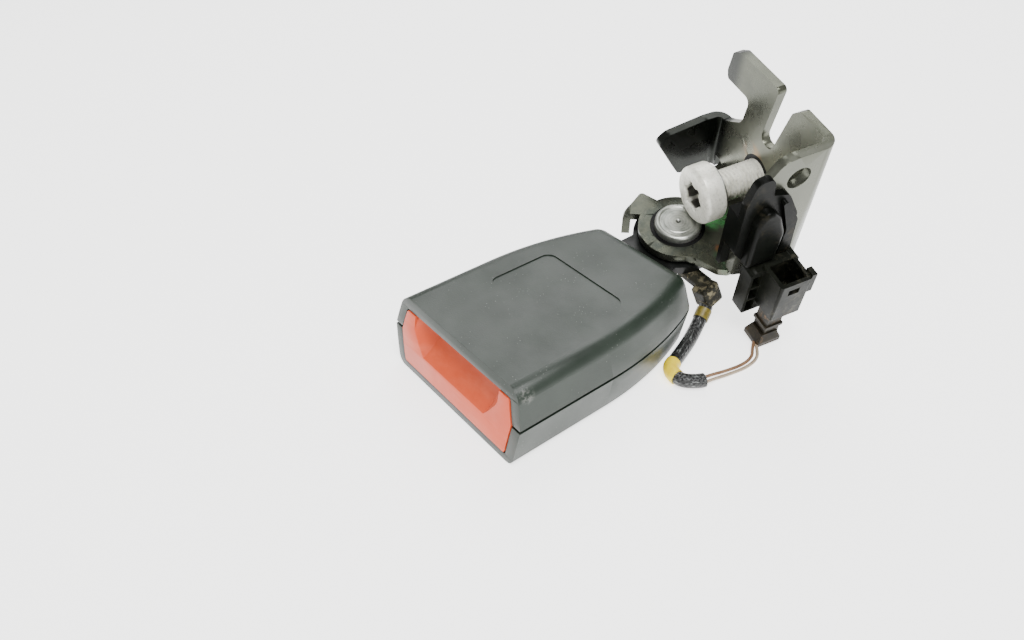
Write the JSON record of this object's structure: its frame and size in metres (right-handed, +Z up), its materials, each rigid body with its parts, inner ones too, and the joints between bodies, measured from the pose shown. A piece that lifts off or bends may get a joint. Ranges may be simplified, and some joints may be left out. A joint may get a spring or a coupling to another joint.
{
  "type": "seat belt buckle",
  "caption": "Press-button seat belt buckle on a steel stalk, with a swivelling anchor bracket, a captive anchor bolt and a short switch lead",
  "frame": {"origin": "middle of the underside of the whole part without its lead", "axes": "X across the head, to the connector's side; Y along the head, from the button to the bracket; Z up from the surface that the head lies on"},
  "size_m": [0.0738, 0.1192, 0.0751],
  "materials": {
    "cover_plastic": "satin dark grey plastic, finely grained",
    "button_plastic": "satin red plastic",
    "black_steel": "black coated steel",
    "plated_steel": "bright zinc plated steel",
    "bracket_steel": "dark phosphated steel",
    "bolt_steel": "dull zinc plated steel",
    "spring_steel": "bright spring steel",
    "black_plastic": "black plastic",
    "connector_plastic": "black connector plastic",
    "contact_brass": "tinned brass",
    "clip_plastic": "beige plastic",
    "braid": "black and grey braid",
    "yellow_tape": "yellow tape",
    "wire_skin": "brown insulation",
    "wire_skin_light": "beige insulation"
  },
  "bodies": {
    "head": {"upper_cover": "cover_plastic", "lower_cover": "cover_plastic", "buckle_frame": "plated_steel", "frame_rivets": "plated_steel", "latch_pin": "plated_steel", "latch_spring": "spring_steel", "ejector_spring": "spring_steel", "button_springs": "spring_steel", "buckle_switch": "black_plastic", "stalk_plate": "black_steel", "swivel_rivet": "plated_steel", "cable_clip": "clip_plastic", "cable_sleeve": "braid", "tape_near": "yellow_tape", "tape_far": "yellow_tape", "wire_a": "wire_skin", "wire_b": "wire_skin_light"},
    "button": {"release_button": "button_plastic"},
    "latch": {"latch_bar": "plated_steel"},
    "ejector": {"ejector": "black_plastic"},
    "bracket": {"anchor_bracket": "bracket_steel", "swivel_bush": "black_plastic", "swivel_washer": "spring_steel", "bolt_retainer": "black_plastic", "connector_holder": "connector_plastic", "connector_socket": "connector_plastic", "socket_pins": "contact_brass", "connector_plug": "connector_plastic"},
    "bolt_carrier": {"bolt_washer": "plated_steel"},
    "bolt": {"anchor_bolt": "bolt_steel"}
  },
  "joints": [
    {"name": "button_press", "type": "slide", "parent": "head", "child": "button", "axis": [0, 1, 0], "range_m": [0, 0.006], "stiffness_N_per_m": 900, "springref_m": -0.004, "deforming": ["button_springs"]},
    {"name": "latch_tilt", "type": "hinge", "parent": "head", "child": "latch", "pos_m": [-0.00837, -0.01165, 0.0084], "axis": [1, 0, 0], "range_deg": [0, 8], "deforming": ["latch_spring"]},
    {"name": "ejector_slide", "type": "slide", "parent": "head", "child": "ejector", "axis": [0, 1, 0], "range_m": [0, 0.009], "stiffness_N_per_m": 500, "springref_m": -0.004, "deforming": ["ejector_spring"]},
    {"name": "bracket_swivel", "type": "hinge", "parent": "head", "child": "bracket", "pos_m": [-0.00837, 0.02715, 0.0272], "axis": [0.2079, -0.22, 0.9531], "range_deg": [-8, 8], "deforming": ["wire_a", "wire_b"]},
    {"name": "bolt_slide", "type": "slide", "parent": "bracket", "child": "bolt_carrier", "axis": [0.3023, 0.9411, 0.1513], "range_m": [0, 0.0144]},
    {"name": "bolt_spin", "type": "hinge", "parent": "bolt_carrier", "child": "bolt", "pos_m": [-0.00535, 0.02824, 0.03686], "axis": [0.3023, 0.9411, 0.1513], "continuous": true}
  ],
  "couplings": [
    {"joint": "latch_tilt", "follows": "button_press", "rad_per_m": 23.271}
  ]
}
